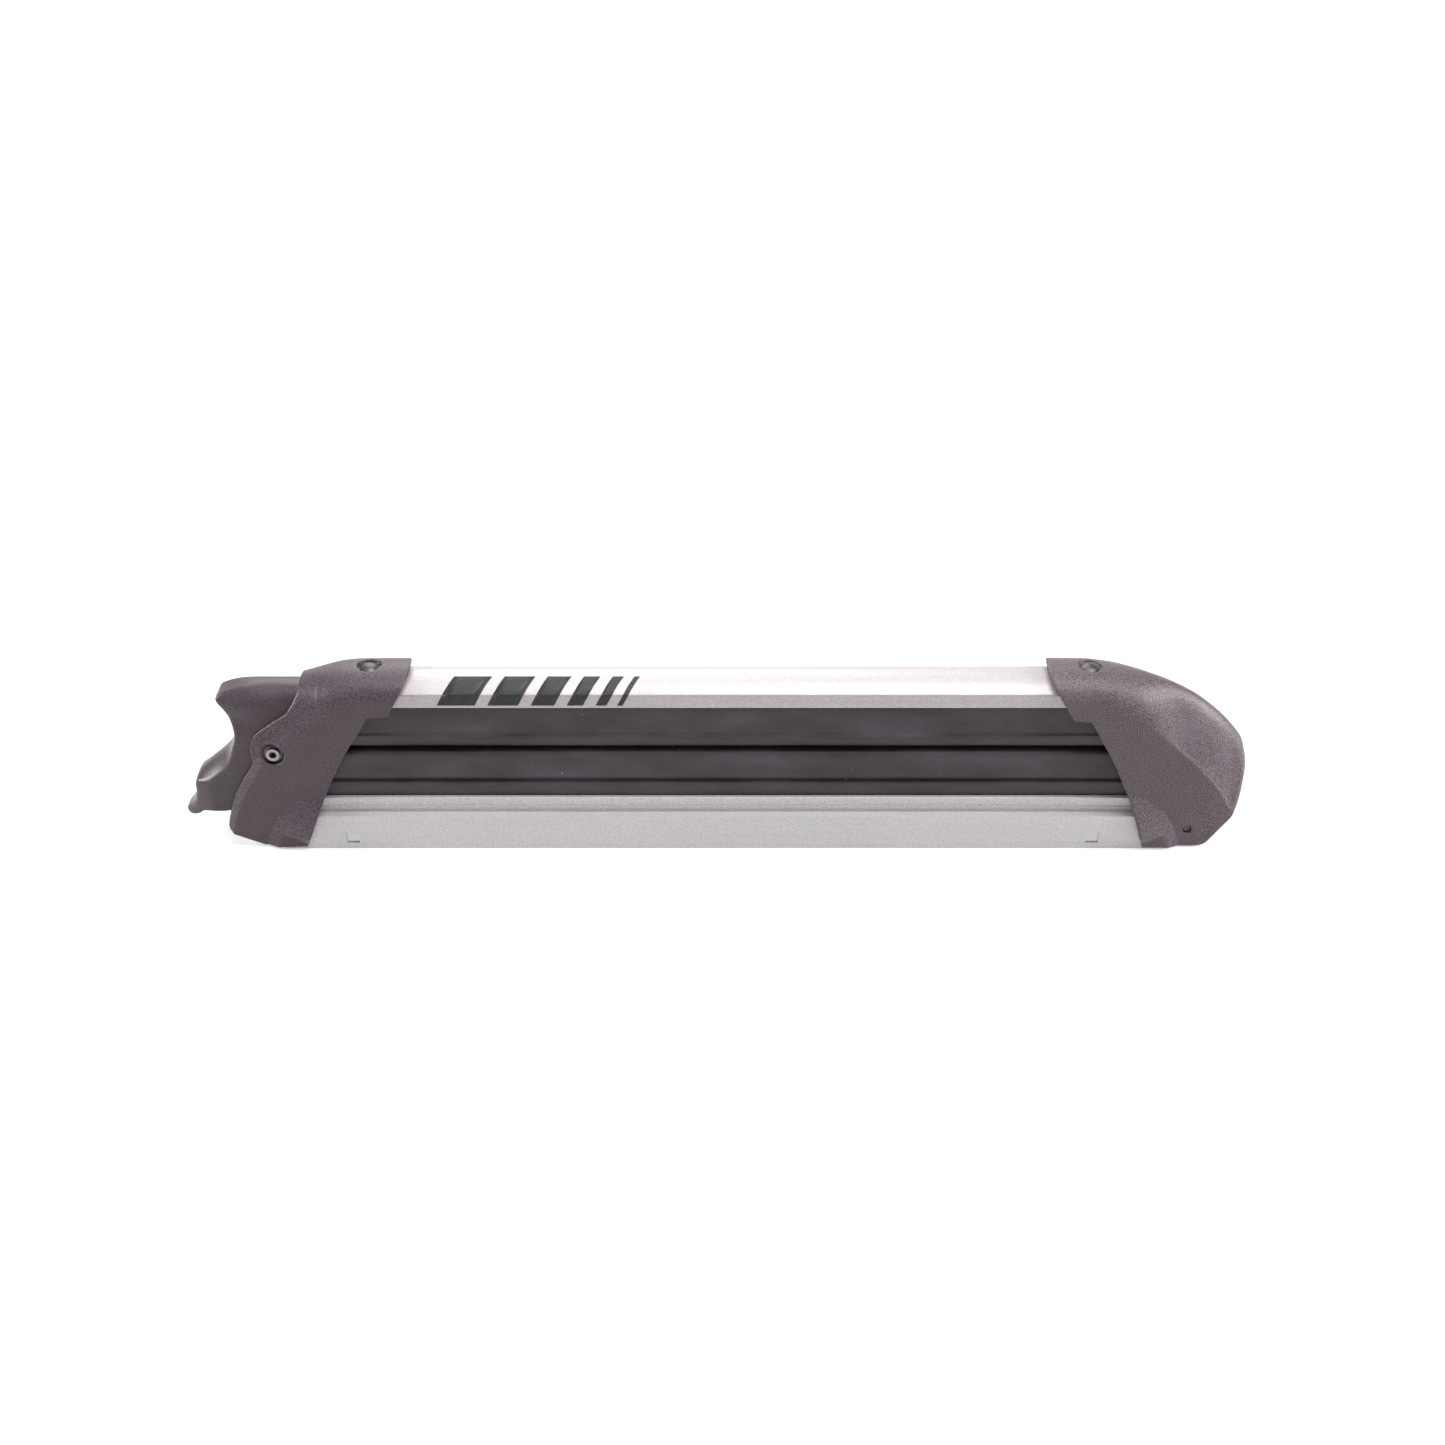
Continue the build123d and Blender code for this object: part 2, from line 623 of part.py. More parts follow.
tip_angle = pin_angle + math.radians(4.2)
with BuildPart() as latch_hook:
    with BuildSketch(FRONT):
        with BuildLine():
            top = RadiusArc(
                about_pivot(tooth_r, x=shank_left), about_pivot(tooth_r, angle=tip_angle), tooth_r
            )
            under = RadiusArc(
                about_pivot(tooth_r + tooth_thick, angle=tip_angle),
                about_pivot(tooth_r + tooth_thick, x=shank_left + shank_wide),
                -tooth_r - tooth_thick,
            )
            Line(top @ 1, under @ 0)
            Polyline(
                under @ 1,
                (shank_left + shank_wide, strike_z + 6),
                (pivot_x + hook_eye_r - 1, pivot_z - 6),
                (pivot_x + hook_eye_r - 3, pivot_z + 19),
                (pivot_x - hook_eye_r + 4, pivot_z + 19),
                (pivot_x - hook_eye_r, pivot_z - 8),
                (shank_left, strike_z + 14),
                top @ 0,
            )
        make_face()
        with Locations(pivot):
            Circle(lever_pin_d / 2 + lever_bush_wall + running_fit, mode=Mode.SUBTRACT)
        with Locations(*rivet_places):
            Circle(rivet_d / 2, mode=Mode.SUBTRACT)
    extrude(amount=hook_thick / 2, both=True)
export(latch_hook.part, "latch_hook")

# ---------------------------------------------------------------- release lever
spring_near = hook_thick / 2 + 1.8
spring_far = spring_near + 8.0
spring_room = 10.2
hook_slot_play = 0.15


def from_pivot(*offsets):
    """Points given as offsets from the lever's pivot."""
    return [(pivot_x + dx, pivot_z + dz) for dx, dz in offsets]


with BuildPart() as release_lever:
    with BuildSketch(FRONT):
        with BuildLine():
            crest = Spline(
                *from_pivot((18.7, 36.6), (1.0, 37.6), (-12.0, 35.4), (-26.0, 33.2), (-31.0, 30.8))
            )
            grip = Spline(
                crest @ 1,
                *from_pivot((-26.5, 20.0), (-22.3, 8.8), (-25.8, -0.7), (-36.6, -11.7), (-47.8, -19.2)),
            )
            front = Polyline(grip @ 1, *from_pivot((-48.6, -28.2)))
            heel = Spline(front @ 1, *from_pivot((-51.8, -37.0), (-57.0, -44.7)))
            Polyline(
                heel @ 1,
                *from_pivot(
                    (-55.0, -48.0),
                    (-50.5, -47.0),
                    (-45.0, -42.6),
                    (-32.0, -41.2),
                    (-20.5, -39.2),
                    (-12.0, -24.0),
                    (8.0, -15.0),
                    (14.0, 0.0),
                    (19.5, 20.0),
                ),
                crest @ 0,
            )
        make_face()
    extrude(amount=lever_half, both=True)
    with BuildSketch(Plane.XY):
        with BuildLine():
            nose = Spline(
                (pivot_x - 22.0, -lever_half),
                (pivot_x - 48.0, -lever_half + 2.5),
                (pivot_x - 58.2, 0),
                (pivot_x - 48.0, lever_half - 2.5),
                (pivot_x - 22.0, lever_half),
            )
            Polyline(nose @ 1, (pivot_x + 24, lever_half), (pivot_x + 24, -lever_half), nose @ 0)
        make_face()
    extrude(amount=cap_top + reach, mode=Mode.INTERSECT)
    with BuildSketch(Plane.YZ.offset(pivot_x - 70)):
        with BuildLine():
            dome = ThreePointArc(
                (-lever_half, pivot_z + 24.0), (0, pivot_z + 37.6), (lever_half, pivot_z + 24.0)
            )
            Polyline(dome @ 1, (lever_half, 0), (-lever_half, 0), dome @ 0)
        make_face()
    extrude(amount=100, mode=Mode.INTERSECT)
    bush_bore = disc(FRONT, pivot, lever_pin_d + 2 * lever_bush_wall)
    extrude(bush_bore, amount=lever_half + 1, both=True, mode=Mode.SUBTRACT)
    with BuildSketch(FRONT):
        with BuildLine():
            Polyline(
                *from_pivot(
                    (-14.5, -60.0),
                    (-12.0, -8.0),
                    (-7.0, 20.0),
                    (9.0, 20.0),
                    (26.0, -10.0),
                    (26.0, -60.0),
                ),
                close=True,
            )
        make_face()
    extrude(amount=hook_thick / 2 + hook_slot_play, both=True, mode=Mode.SUBTRACT)
    for place in rivet_places:
        extrude(disc(FRONT, place, rivet_d), amount=lever_half + 1, both=True, mode=Mode.SUBTRACT)
    spring_pocket = disc(FRONT.offset(spring_near - 0.6), pivot, 2 * spring_room)
    extrude(spring_pocket, amount=spring_far - spring_near + 1.2, mode=Mode.SUBTRACT)
export(release_lever.part, "release_lever")

with BuildPart() as hook_rivets:
    for place in rivet_places:
        extrude(disc(FRONT, place, rivet_d), amount=lever_half - 1.5, both=True)
export(hook_rivets.part, "hook_rivets")

with BuildPart() as lever_bush:
    with BuildSketch(FRONT):
        with Locations(pivot):
            Circle(lever_pin_d / 2 + lever_bush_wall)
            Circle(lever_pin_d / 2 + running_fit, mode=Mode.SUBTRACT)
    extrude(amount=lever_half + 0.3, both=True)
export(lever_bush.part, "lever_bush")

# ---------------------------------------------------------------- lever return spring
wire_d = 1.3
coil_r = 6.6
coil_pitch = 1.9
coil_turns = 3
coil_start = -spring_near - 0.9
with BuildPart() as lever_spring:
    with BuildLine() as coil:
        Helix(coil_pitch, coil_pitch * coil_turns, coil_r, (pivot_x, coil_start, pivot_z), (0, -1, 0))
    with BuildSketch(Plane(coil.line @ 0, z_dir=coil.line % 0)):
        Circle(wire_d / 2)
    sweep(path=coil.line, is_frenet=True)
export(lever_spring.part, "lever_spring")

# ---------------------------------------------------------------- lever pivot screw
washer_d = 10.4
washer_thick = 0.6
pivot_head_d = 7.6
head_below = 0.9  # the head and the nut lie this far below the cap's sides
socket_depth = 3.4
socket_r = 2.3
nut_r = 4.6
screw_past_washer = 2.2
recess_level = cheek_out - pivot_recess
with BuildPart() as lever_pivot_screw:
    extrude(
        disc(FRONT.offset(recess_level + washer_thick), pivot, pivot_head_d),
        amount=pivot_recess - washer_thick - head_below,
    )
    extrude(
        disc(FRONT.offset(recess_level + washer_thick), pivot, lever_pin_d),
        amount=-2 * recess_level - washer_thick - screw_past_washer,
    )
    with BuildSketch(FRONT.offset(cheek_out)):
        with Locations(pivot):
            RegularPolygon(socket_r, 6)
    extrude(amount=-head_below - socket_depth, mode=Mode.SUBTRACT)
export(lever_pivot_screw.part, "lever_pivot_screw")

with BuildPart() as lever_pivot_washers:
    for side in (1, -1):
        with BuildSketch(FRONT.offset(side * recess_level)):
            with Locations(pivot):
                Circle(washer_d / 2)
                Circle(lever_pin_d / 2 + running_fit, mode=Mode.SUBTRACT)
        extrude(amount=side * washer_thick)
export(lever_pivot_washers.part, "lever_pivot_washers")

with BuildPart() as lever_pivot_nut:
    with BuildSketch(FRONT.offset(-recess_level - washer_thick)):
        with Locations(pivot):
            RegularPolygon(nut_r, 6)
            Circle(lever_pin_d / 2, mode=Mode.SUBTRACT)
    extrude(amount=-(pivot_recess - washer_thick - head_below / 2))
export(lever_pivot_nut.part, "lever_pivot_nut")
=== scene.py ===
# %% [markdown]
# # A ski rack bar for a car roof
#
# The real object is a clamp for skis. A wide aluminium base rail lies across the
# car, a narrower aluminium arm closes over it, and each carries a long rubber pad.
# A moulded cap hides the hinge at one end, and a second cap holds a release lever
# at the other. The CAD parts are loaded first, because they fix every size. Metal
# parts keep their CAD shape and only get a finish. The soft and the moulded parts
# are made again here, because their roundings catch the light and CAD left them
# plain.

import json
import math

import bpy
import numpy as np
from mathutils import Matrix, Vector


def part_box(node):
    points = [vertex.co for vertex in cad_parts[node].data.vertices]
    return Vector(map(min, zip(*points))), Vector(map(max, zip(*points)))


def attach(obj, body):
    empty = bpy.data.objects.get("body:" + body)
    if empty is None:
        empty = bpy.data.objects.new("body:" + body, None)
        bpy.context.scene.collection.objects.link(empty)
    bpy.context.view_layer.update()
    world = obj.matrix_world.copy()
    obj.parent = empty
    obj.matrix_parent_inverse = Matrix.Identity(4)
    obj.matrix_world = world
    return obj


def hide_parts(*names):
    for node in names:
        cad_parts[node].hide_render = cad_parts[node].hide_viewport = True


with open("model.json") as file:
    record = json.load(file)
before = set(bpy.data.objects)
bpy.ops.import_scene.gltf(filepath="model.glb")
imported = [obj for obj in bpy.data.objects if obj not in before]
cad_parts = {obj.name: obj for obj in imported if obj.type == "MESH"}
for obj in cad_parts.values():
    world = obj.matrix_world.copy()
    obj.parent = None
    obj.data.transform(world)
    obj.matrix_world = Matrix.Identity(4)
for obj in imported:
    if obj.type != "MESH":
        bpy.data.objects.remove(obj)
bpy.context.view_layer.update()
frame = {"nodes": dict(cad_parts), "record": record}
nodes = frame["nodes"]

# %% [markdown]
# ## Sizes read from the parts
#
# Every place below is worked out in millimetres from the boxes of the CAD parts, so
# that a new piece lands where its part is. Numbers that stay are small offsets from
# those places, as a pattern maker would measure them from a datum.

# %% Places in millimetres
MM = 0.001


def corners(node):
    """Lowest and highest corner of a CAD part, in millimetres."""
    low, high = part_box(node)
    return np.array(low) / MM, np.array(high) / MM


def middle(node):
    """Middle of a CAD part's box, in millimetres."""
    low, high = corners(node)
    return (low + high) / 2


base_low, base_high = corners("base_rail")
arm_low, arm_high = corners("arm_rail")
latch_low, latch_high = corners("latch_cap")
hinge_low, hinge_high = corners("hinge_cap")
pivot_x, _, pivot_z = middle("lever_bush")
hinge_x, _, hinge_z = middle("hinge_pin")
cap_top = latch_high[2]
rail_half = arm_high[1]
skirt_half = base_high[1]
flare_out = latch_high[1]
wall = 4.2  # thickness of the caps' sides
cheek_in = rail_half + 0.5
cheek_out = cheek_in + wall
crown_rise, crown_radius = 6.5, 22.94  # the arm's crown
latch_rivet_x = corners("cap_rivets")[0][0] + 5.3
hinge_rivet_x = corners("cap_rivets")[1][0] - 5.3
print("lever pivot", round(pivot_x, 2), round(pivot_z, 2))
print("hinge pin", round(hinge_x, 2), round(hinge_z, 2))

# %% [markdown]
# ## Moulded shapes from a distance field
#
# A moulded cap has an outside skin, a hollow inside, a mouth, screw recesses and
# soft edges everywhere. One skin of two parameters can't carry all of these at once,
# and cutting meshes leaves hard edges that look machined. A distance field can: it is
# a number at each point of space, negative inside the plastic and positive outside.
# Two fields meet with a rounded edge of any radius, so every cut gets the small
# radius that a mould gives it. The surface is then drawn where the number is zero.

# %% Fields that meet and join with round edges
def meet(a, b, radius):
    """Keeps what is inside both fields: the larger distance, with a round outer edge.

    Near the edge the distance is hypot(a + r, b + r) - r.
    """
    edge = np.hypot(np.maximum(a + radius, 0), np.maximum(b + radius, 0))
    return np.minimum(np.maximum(a, b), -radius) + edge


def cut(a, b, radius):
    """Takes field b away from field a, and rounds the rim."""
    return meet(a, -b, radius)


def smooth_larger(a, b, width):
    """The larger of two values, rounded over a width: (a + b + sqrt((a - b)^2 + w^2)) / 2."""
    return 0.5 * (a + b + np.sqrt((a - b) ** 2 + width**2))


def smooth_smaller(a, b, width):
    """The smaller of two values, rounded over a width."""
    return -smooth_larger(-a, -b, width)


def ramp(value):
    """Eases from 0 to 1 as the value goes from 0 to 1: 3t^2 - 2t^3."""
    t = np.clip(value, 0, 1)
    return t * t * (3 - 2 * t)


def through(points, steps=8):
    """A smooth line through points, as a Catmull-Rom curve with the given steps a span."""
    p = np.array(points, float)
    p = np.vstack([2 * p[0] - p[1], p, 2 * p[-1] - p[-2]])
    t = np.linspace(0, 1, steps, endpoint=False)[:, None, None]
    a, b, c, d = p[:-3], p[1:-2], p[2:-1], p[3:]
    square, cube = 2 * a - 5 * b + 4 * c - d, 3 * b - a - 3 * c + d
    line = 0.5 * (2 * b + (c - a) * t + square * t**2 + cube * t**3)
    return np.vstack([line.transpose(1, 0, 2).reshape(-1, 2), p[-2]])


def line_distance(x, z, outline):
    """Distance to a closed outline in the side view, negative inside it.

    Each side's nearest point is its clamped projection. The sign comes from counting
    the sides that a level ray crosses.
    """
    a = np.asarray(outline, float)
    b = np.roll(a, -1, axis=0)
    span = b - a
    dx = x[..., None] - a[:, 0]
    dz = z[..., None] - a[:, 1]
    length = np.maximum((span**2).sum(1), 1e-12)
    t = np.clip((dx * span[:, 0] + dz * span[:, 1]) / length, 0, 1)
    near = np.sqrt(((dx - t * span[:, 0]) ** 2 + (dz - t * span[:, 1]) ** 2).min(-1))
    above = (a[:, 1] > z[..., None]) != (b[:, 1] > z[..., None])
    rise = np.where(np.abs(span[:, 1]) < 1e-12, 1e-12, span[:, 1])
    crossed = above & (x[..., None] < a[:, 0] + dz * span[:, 0] / rise)
    return np.where(crossed.sum(-1) % 2 == 1, -near, near)


def along(x, stations):
    """Value that changes smoothly with x through (x, value) stations."""
    line = through(stations, 12)
    return np.interp(x, line[:, 0], line[:, 1])


def domed(y, z, half, apex, crease, fullness):
    """Arch across the bar: upright sides to the crease, then a crown up to the apex.

    Above the crease the skin is where (y / half)^2 + t^fullness = 1, with t the height
    over the crease as a share of the crown's rise. A fullness of 2 is an ellipse, and 1
    a parabola that leaves a ridge at the crease.
    """
    rise = apex - crease
    t = np.maximum((z - crease) / rise, 0)
    value = (y / half) ** 2 + t**fullness - 1
    slope = np.hypot(2 * y / half**2, fullness * np.maximum(t, 1e-6) ** (fullness - 1) / rise)
    crown = value / np.maximum(slope, 0.02)
    return np.where(z > crease, crown, y - half)


# %% [markdown]
# ## Drawing the skin of a field
#
# The field is sampled on a fine grid. Every grid cell that the skin passes through
# gets one corner, at the mean of the points where its edges cross the skin, and the
# four cells round each crossed edge share one face. Each corner is then moved down
# the field's own slope until it lies on the skin.

# %% From a field to a mesh
def skin_of(field, low, high, cell):
    """Corners and four-sided faces of the surface where a field is zero, in millimetres."""
    axes = [np.arange(a - 2 * cell, b + 3 * cell, cell) for a, b in zip(low, high)]
    x, y, z = np.meshgrid(*axes, indexing="ij", sparse=True)
    value = field(x, y, z) + 0 * (x + y + z)
    shape = np.array(value.shape) - 1
    total = np.zeros((*shape, 3))
    count = np.zeros(shape)
    faces = []
    index = np.arange(np.prod(shape)).reshape(shape)
    for axis in range(3):
        first = np.moveaxis(value, axis, 0)[:-1]
        second = np.moveaxis(value, axis, 0)[1:]
        crossing = np.argwhere((first < 0) != (second < 0))
        v0 = first[tuple(crossing.T)]
        v1 = second[tuple(crossing.T)]
        at = crossing.astype(float)
        at[:, 0] += v0 / (v0 - v1)
        order = [axis, *[k for k in range(3) if k != axis]]
        at = at[:, np.argsort(order)]
        cell_at = crossing[:, np.argsort(order)]
        u, w = order[1], order[2]
        around = []
        for du, dw in ((-1, -1), (0, -1), (0, 0), (-1, 0)):
            c = cell_at.copy()
            c[:, u] += du
            c[:, w] += dw
            np.add.at(total, tuple(c.T), at)
            np.add.at(count, tuple(c.T), 1)
            around.append(index[tuple(c.T)])
        quad = np.stack(around, 1)
        turned = (v0 < 0) if axis != 1 else (v0 >= 0)
        faces.append(np.where(turned[:, None], quad, quad[:, ::-1]))
    used = count > 0
    renumber = np.cumsum(used.ravel()) - 1
    points = total[used] / count[used][:, None] * cell + np.array([a[0] for a in axes])
    return points, renumber[np.concatenate(faces)]


def settle(field, points, cell, rounds=3):
    """Moves each corner onto the skin: p - f * slope / |slope|^2, half a cell at most."""
    step = 0.05
    for _ in range(rounds):
        x, y, z = points.T
        slope = np.stack(
            [
                field(x + step, y, z) - field(x - step, y, z),
                field(x, y + step, z) - field(x, y - step, z),
                field(x, y, z + step) - field(x, y, z - step),
            ],
            1,
        ) / (2 * step)
        move = (field(x, y, z) / np.maximum((slope**2).sum(1), 0.05))[:, None] * slope
        length = np.linalg.norm(move, axis=1, keepdims=True)
        points = points - move * np.minimum(1, 0.5 * cell / np.maximum(length, 1e-9))
    return points


def piece(name, points, faces):
    """A mesh object at the origin, from corners in millimetres and faces as index rows."""
    mesh = bpy.data.meshes.new(name)
    mesh.from_pydata((np.asarray(points) * MM).tolist(), [], [list(f) for f in faces])
    mesh.update()
    mesh.shade_smooth()
    obj = bpy.data.objects.new(name, mesh)
    bpy.context.scene.collection.objects.link(obj)
    print(name, len(points), "corners,", len(faces), "faces")
    return obj


def moulded(name, field, low, high):
    """A moulded piece: the settled skin of a field."""
    cell = 0.75
    points, faces = skin_of(field, low, high, cell)
    return piece(name, settle(field, points, cell), faces.tolist())


# %% [markdown]
# ## The release end's cap
#
# This cap wraps the end of the arm and comes down over both sides of the base. Its
# side view is an outline: a slanted inner edge with a small step where the pads go
# in, a low foot, a curved front, a round hub about the lever's pivot and a wavy seam
# against the lever. Across the bar it is an arch. The sides lean out towards the
# foot, with a leaf-shaped swelling where the base's skirts go in, a lighter bevel
# down the front and a soft fold that fades out above the pivot.

# %% Cap at the release end
lip_x = pivot_x + 16.7
latch_outline = np.vstack(
    [
        through(
            [
                (arm_low[0] + 11.6, 85.0),
                (arm_low[0] + 6.9, 76.3),
                (arm_low[0] - 1.3, 63.2),
                (arm_low[0] - 8.8, 49.0),
                (arm_low[0] - 14.9, 36.0),
                (arm_low[0] - 21.6, 19.3),
                (arm_low[0] - 28.3, 1.8),
            ]
        ),
        [(pivot_x - 3.0, 0.9), (pivot_x - 11.0, 1.3)],
        through(
            [(pivot_x - 28.0, 8.3), (pivot_x - 30.6, 12.6), (pivot_x - 28.4, 22.5), (pivot_x - 24.6, 33.5)]
        ),
        through([(pivot_x - 18.6, 44.6), (pivot_x - 12.9, 53.3), (pivot_x - 12.3, 57.6)]),
        through(
            [(pivot_x - 12.9, 62.6), (pivot_x - 11.6, 68.4), (pivot_x - 8.6, 73.4), (pivot_x + 2.7, 82.0)]
        ),
        through([(pivot_x + 9.2, 86.0), (pivot_x + 13.4, 92.2), (pivot_x + 15.9, 98.0), (lip_x, 104.0)]),
        [(lip_x, cap_top + 9), (arm_low[0] + 41.3, cap_top + 9), (arm_low[0] + 23.4, 86.1)],
    ]
)
latch_fold = np.vstack(
    [
        through(
            [
                (pivot_x - 28.6, 4.0),
                (pivot_x - 24.2, 21.1),
                (pivot_x - 20.0, 31.9),
                (pivot_x - 13.8, 42.7),
                (pivot_x - 6.0, 55.5),
                (pivot_x + 5.0, 67.0),
                (pivot_x + 19.9, 76.9),
                (pivot_x + 33.0, 82.6),
                (pivot_x + 80.0, 90.0),
            ]
        ),
        [(pivot_x + 80.0, -40.0), (pivot_x - 30.0, -40.0)],
    ]
)


def side_half(x, z, leaf_x, edge_x):
    """Half width of a cap's sides: flat, with a leaf that swells over the base's skirts.

    The leaf is part of a cone about a point by the foot, so its rim is an arc, and a
    slope cuts it off below.
    """
    reach = np.hypot(x - leaf_x, z + 5)
    inward = np.sign(leaf_x - edge_x)
    cone = cheek_out + 0.46 * np.maximum(41.5 - reach, 0)
    below = cheek_out + 3.4 + 0.8 * np.maximum((x - edge_x) * inward * 0.455 + (z - 4.0) * 0.891, -0.6)
    return np.where(reach > 41.5, cheek_out, np.minimum(np.minimum(cone, flare_out - 0.1), below))


def base_room(s, z, from_end):
    """Room for the base rail inside a cap: its narrow channel, and its skirts with a cut corner."""
    skirts = np.maximum(s - skirt_half - 0.15, z - base_high[2] + 8.6)
    corner = (8.6 - from_end - (base_high[2] - 8.6 - z)) / math.sqrt(2)
    channel = np.maximum(s - rail_half - 0.9, z - base_high[2] - 0.4)
    return np.minimum(np.maximum(skirts, corner), channel)


def arm_room(s, z):
    """Room for the arm rail inside a cap: its crown's circle, and its sides below."""
    from_centre = np.hypot(s, z - arm_high[2] + crown_radius)
    return np.maximum(from_centre - crown_radius - 0.4, s - cheek_in)


def rivet_recess(skin, x, y, z, rivet_x):
    """Counterbore for the head of a cap's rivet, and the hole for its shank."""
    from_rivet = np.hypot(x - rivet_x, y)
    skin = cut(skin, np.maximum(from_rivet - 6.6, cap_top - 2.7 - z), 0.6)
    return cut(skin, np.maximum(from_rivet - 3.2, arm_high[2] - 4 - z), 0.2)


def latch_cap_field(x, y, z):
    """Arch of the cap, met by its side view, less the rooms for arm, lever and base."""
    s = np.abs(y)
    fold = np.maximum(line_distance(x, z, latch_fold), 0)
    band = ramp((58 - z) / 7)
    fade = ramp((pivot_x + 38 - x) / 30)
    inset = band * 0.62 * fold + (1 - band) * (2.2 * ramp(fold / 6.0) + 0.03 * fold) * fade
    half = side_half(x, z, pivot_x + 32.5, pivot_x + 15.0) - inset
    apex = along(
        x,
        [
            (pivot_x - 60, 84), (lip_x - 20, 97.3), (lip_x, 102.0), (lip_x + 12, 105.2),
            (arm_low[0] - 1, 107.9), (arm_low[0] + 12, cap_top - 0.1), (arm_low[0] + 40, cap_top - 0.1),
            (arm_low[0] + 80, cap_top - 0.1),
        ],
    )
    crease = along(
        x,
        [
            (pivot_x - 60, 70), (lip_x, 84), (lip_x + 12, 88),
            (arm_low[0], 93), (arm_low[0] + 46, 95), (0, 95),
        ],
    )
    skin = meet(domed(s, z, half, apex, crease, 2.0), line_distance(x, z, latch_outline), 0.8)
    hollow = domed(s, z, cheek_in, apex - wall, crease - 1, 2.0)
    arm = np.maximum(arm_room(s, z), arm_low[0] - 0.4 - x)
    skirts = np.maximum(base_room(s, z, x - base_low[0]), base_low[0] - 0.5 - x)
    skin = cut(skin, np.minimum(hollow, arm), 0.5)
    skin = cut(skin, skirts, 0.3)
    skin = rivet_recess(skin, x, y, z, latch_rivet_x)
    from_pivot = np.hypot(x - pivot_x, z - pivot_z)
    skin = cut(skin, np.maximum(from_pivot - 6.3, cheek_out - 3.2 - s), 0.6)
    return cut(skin, from_pivot - 2.6, 0.2)


release_cap = moulded("release_cap", latch_cap_field, (latch_low[0], -flare_out, 0), latch_high)
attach(release_cap, "arm")
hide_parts("latch_cap")

# %% [markdown]
# ## The hinge end's cap
#
# It has the same family look, but it closes the end. The crown bends down to a blunt
# nose, and a ridge starts softly on the side and grows sharper towards the nose. The
# fullness of the arch does that: it goes from an ellipse at the arm to a parabola at
# the nose, and a parabola meets the upright side at an angle.

# %% Cap at the hinge end
hinge_outline = np.vstack(
    [
        through([(arm_high[0] - 12.3, 82.6), (arm_high[0] - 5.0, 69.6), (arm_high[0] + 1.7, 57.4),
                 (arm_high[0] + 8.7, 42.3), (arm_high[0] + 12.3, 34.0), (arm_high[0] + 17.5, 19.6),
                 (arm_high[0] + 23.2, 0.9)]),
        [(hinge_x + 2, 0.35)],
        [(hinge_x + 8.2, 0.6), (hinge_x + 10.6, 1.4), (hinge_x + 12.6, 3.0), (hinge_x + 24.9, 19.0)],
        [(hinge_x + 30.5, 28.0), (hinge_x + 34, 42), (hinge_x + 34, cap_top + 9)],
        [(arm_high[0] - 42.8, cap_top + 9)],
        [(arm_high[0] - 22.0, 83.6)],
    ]
)


def hinge_cap_field(x, y, z):
    """Arch that bends down to a blunt nose, less the rooms for the arm and the base."""
    s = np.abs(y)
    end = hinge_high[0] - 0.1
    apex = along(
        x,
        [
            (arm_high[0] - 60, cap_top - 0.1), (arm_high[0] - 30, cap_top - 0.1),
            (arm_high[0] - 14, cap_top - 0.3), (arm_high[0] - 7, 107.6), (arm_high[0] + 6, 105.8),
            (arm_high[0] + 20, 102.4), (arm_high[0] + 34, 97.4), (hinge_x, 89.8), (hinge_x + 10.5, 81.8),
            (hinge_x + 18.5, 74.4), (hinge_x + 25, 67.0), (hinge_x + 29.5, 60.5), (end, 50), (end + 8, 34),
        ],
    )
    crease = along(
        x,
        [
            (arm_high[0] - 60, 95.2), (arm_high[0] - 10, 94.0), (arm_high[0] + 8, 87.5),
            (arm_high[0] + 25, 76), (arm_high[0] + 37, 65.6), (hinge_x, 55.2), (hinge_x + 9.6, 44.9),
            (hinge_x + 17.5, 34.6), (hinge_x + 24.5, 23.5), (end + 2, 15), (end + 10, 4),
        ],
    )
    fullness = 2.0 - 1.2 * ramp((x - arm_high[0]) / 40)
    half = side_half(x, z, hinge_x - 45.0, hinge_x - 25.5) - 1.4 * ramp((x - hinge_x - 4) / 26)
    nose = x - end + 7.6 * (s / cheek_out) ** 2 + 0.7 * ramp((45 - z) / 30)
    skin = meet(domed(s, z, half, apex, crease, fullness), line_distance(x, z, hinge_outline), 0.8)
    skin = meet(skin, nose, 1.2)
    inner = domed(s, z, np.minimum(half - wall, cheek_in), apex - 4.6, crease - 1.5, fullness)
    inner = np.maximum(inner, nose + wall)
    arm = np.maximum(arm_room(s, z), x - arm_high[0] - 0.4)
    swing = np.maximum(15.2 - 0.6 - np.hypot(x - hinge_x, z - hinge_z), x - hinge_x)
    swing = np.maximum(np.maximum(swing, z - hinge_z), s - skirt_half - 0.3)
    skirts = np.maximum(base_room(s, z, base_high[0] - x), x - base_high[0] - 0.5)
    skin = cut(skin, np.minimum(inner, arm), 0.5)
    skin = cut(skin, np.minimum(skirts, swing), 0.3)
    skin = rivet_recess(skin, x, y, z, hinge_rivet_x)
    return cut(skin, np.hypot(x - hinge_x, z - hinge_z) - 2.6, 0.7)


hinge_cover = moulded("hinge_cover", hinge_cap_field, (hinge_low[0], -flare_out, 0), hinge_high)
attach(hinge_cover, "arm")
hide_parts("hinge_cap")

# %% [markdown]
# ## The release lever
#
# A thumb pulls this lever. Its top is a beak with a swelling crown, then the front
# falls into a hollow for the thumb, stands out again in a dished pad and ends in a
# small hooked tail. The side view gives the outline. Across the bar the front face
# of the dished pad falls away to both sides, so the outline is read a little higher
# there. A shallow valley runs under the beak.

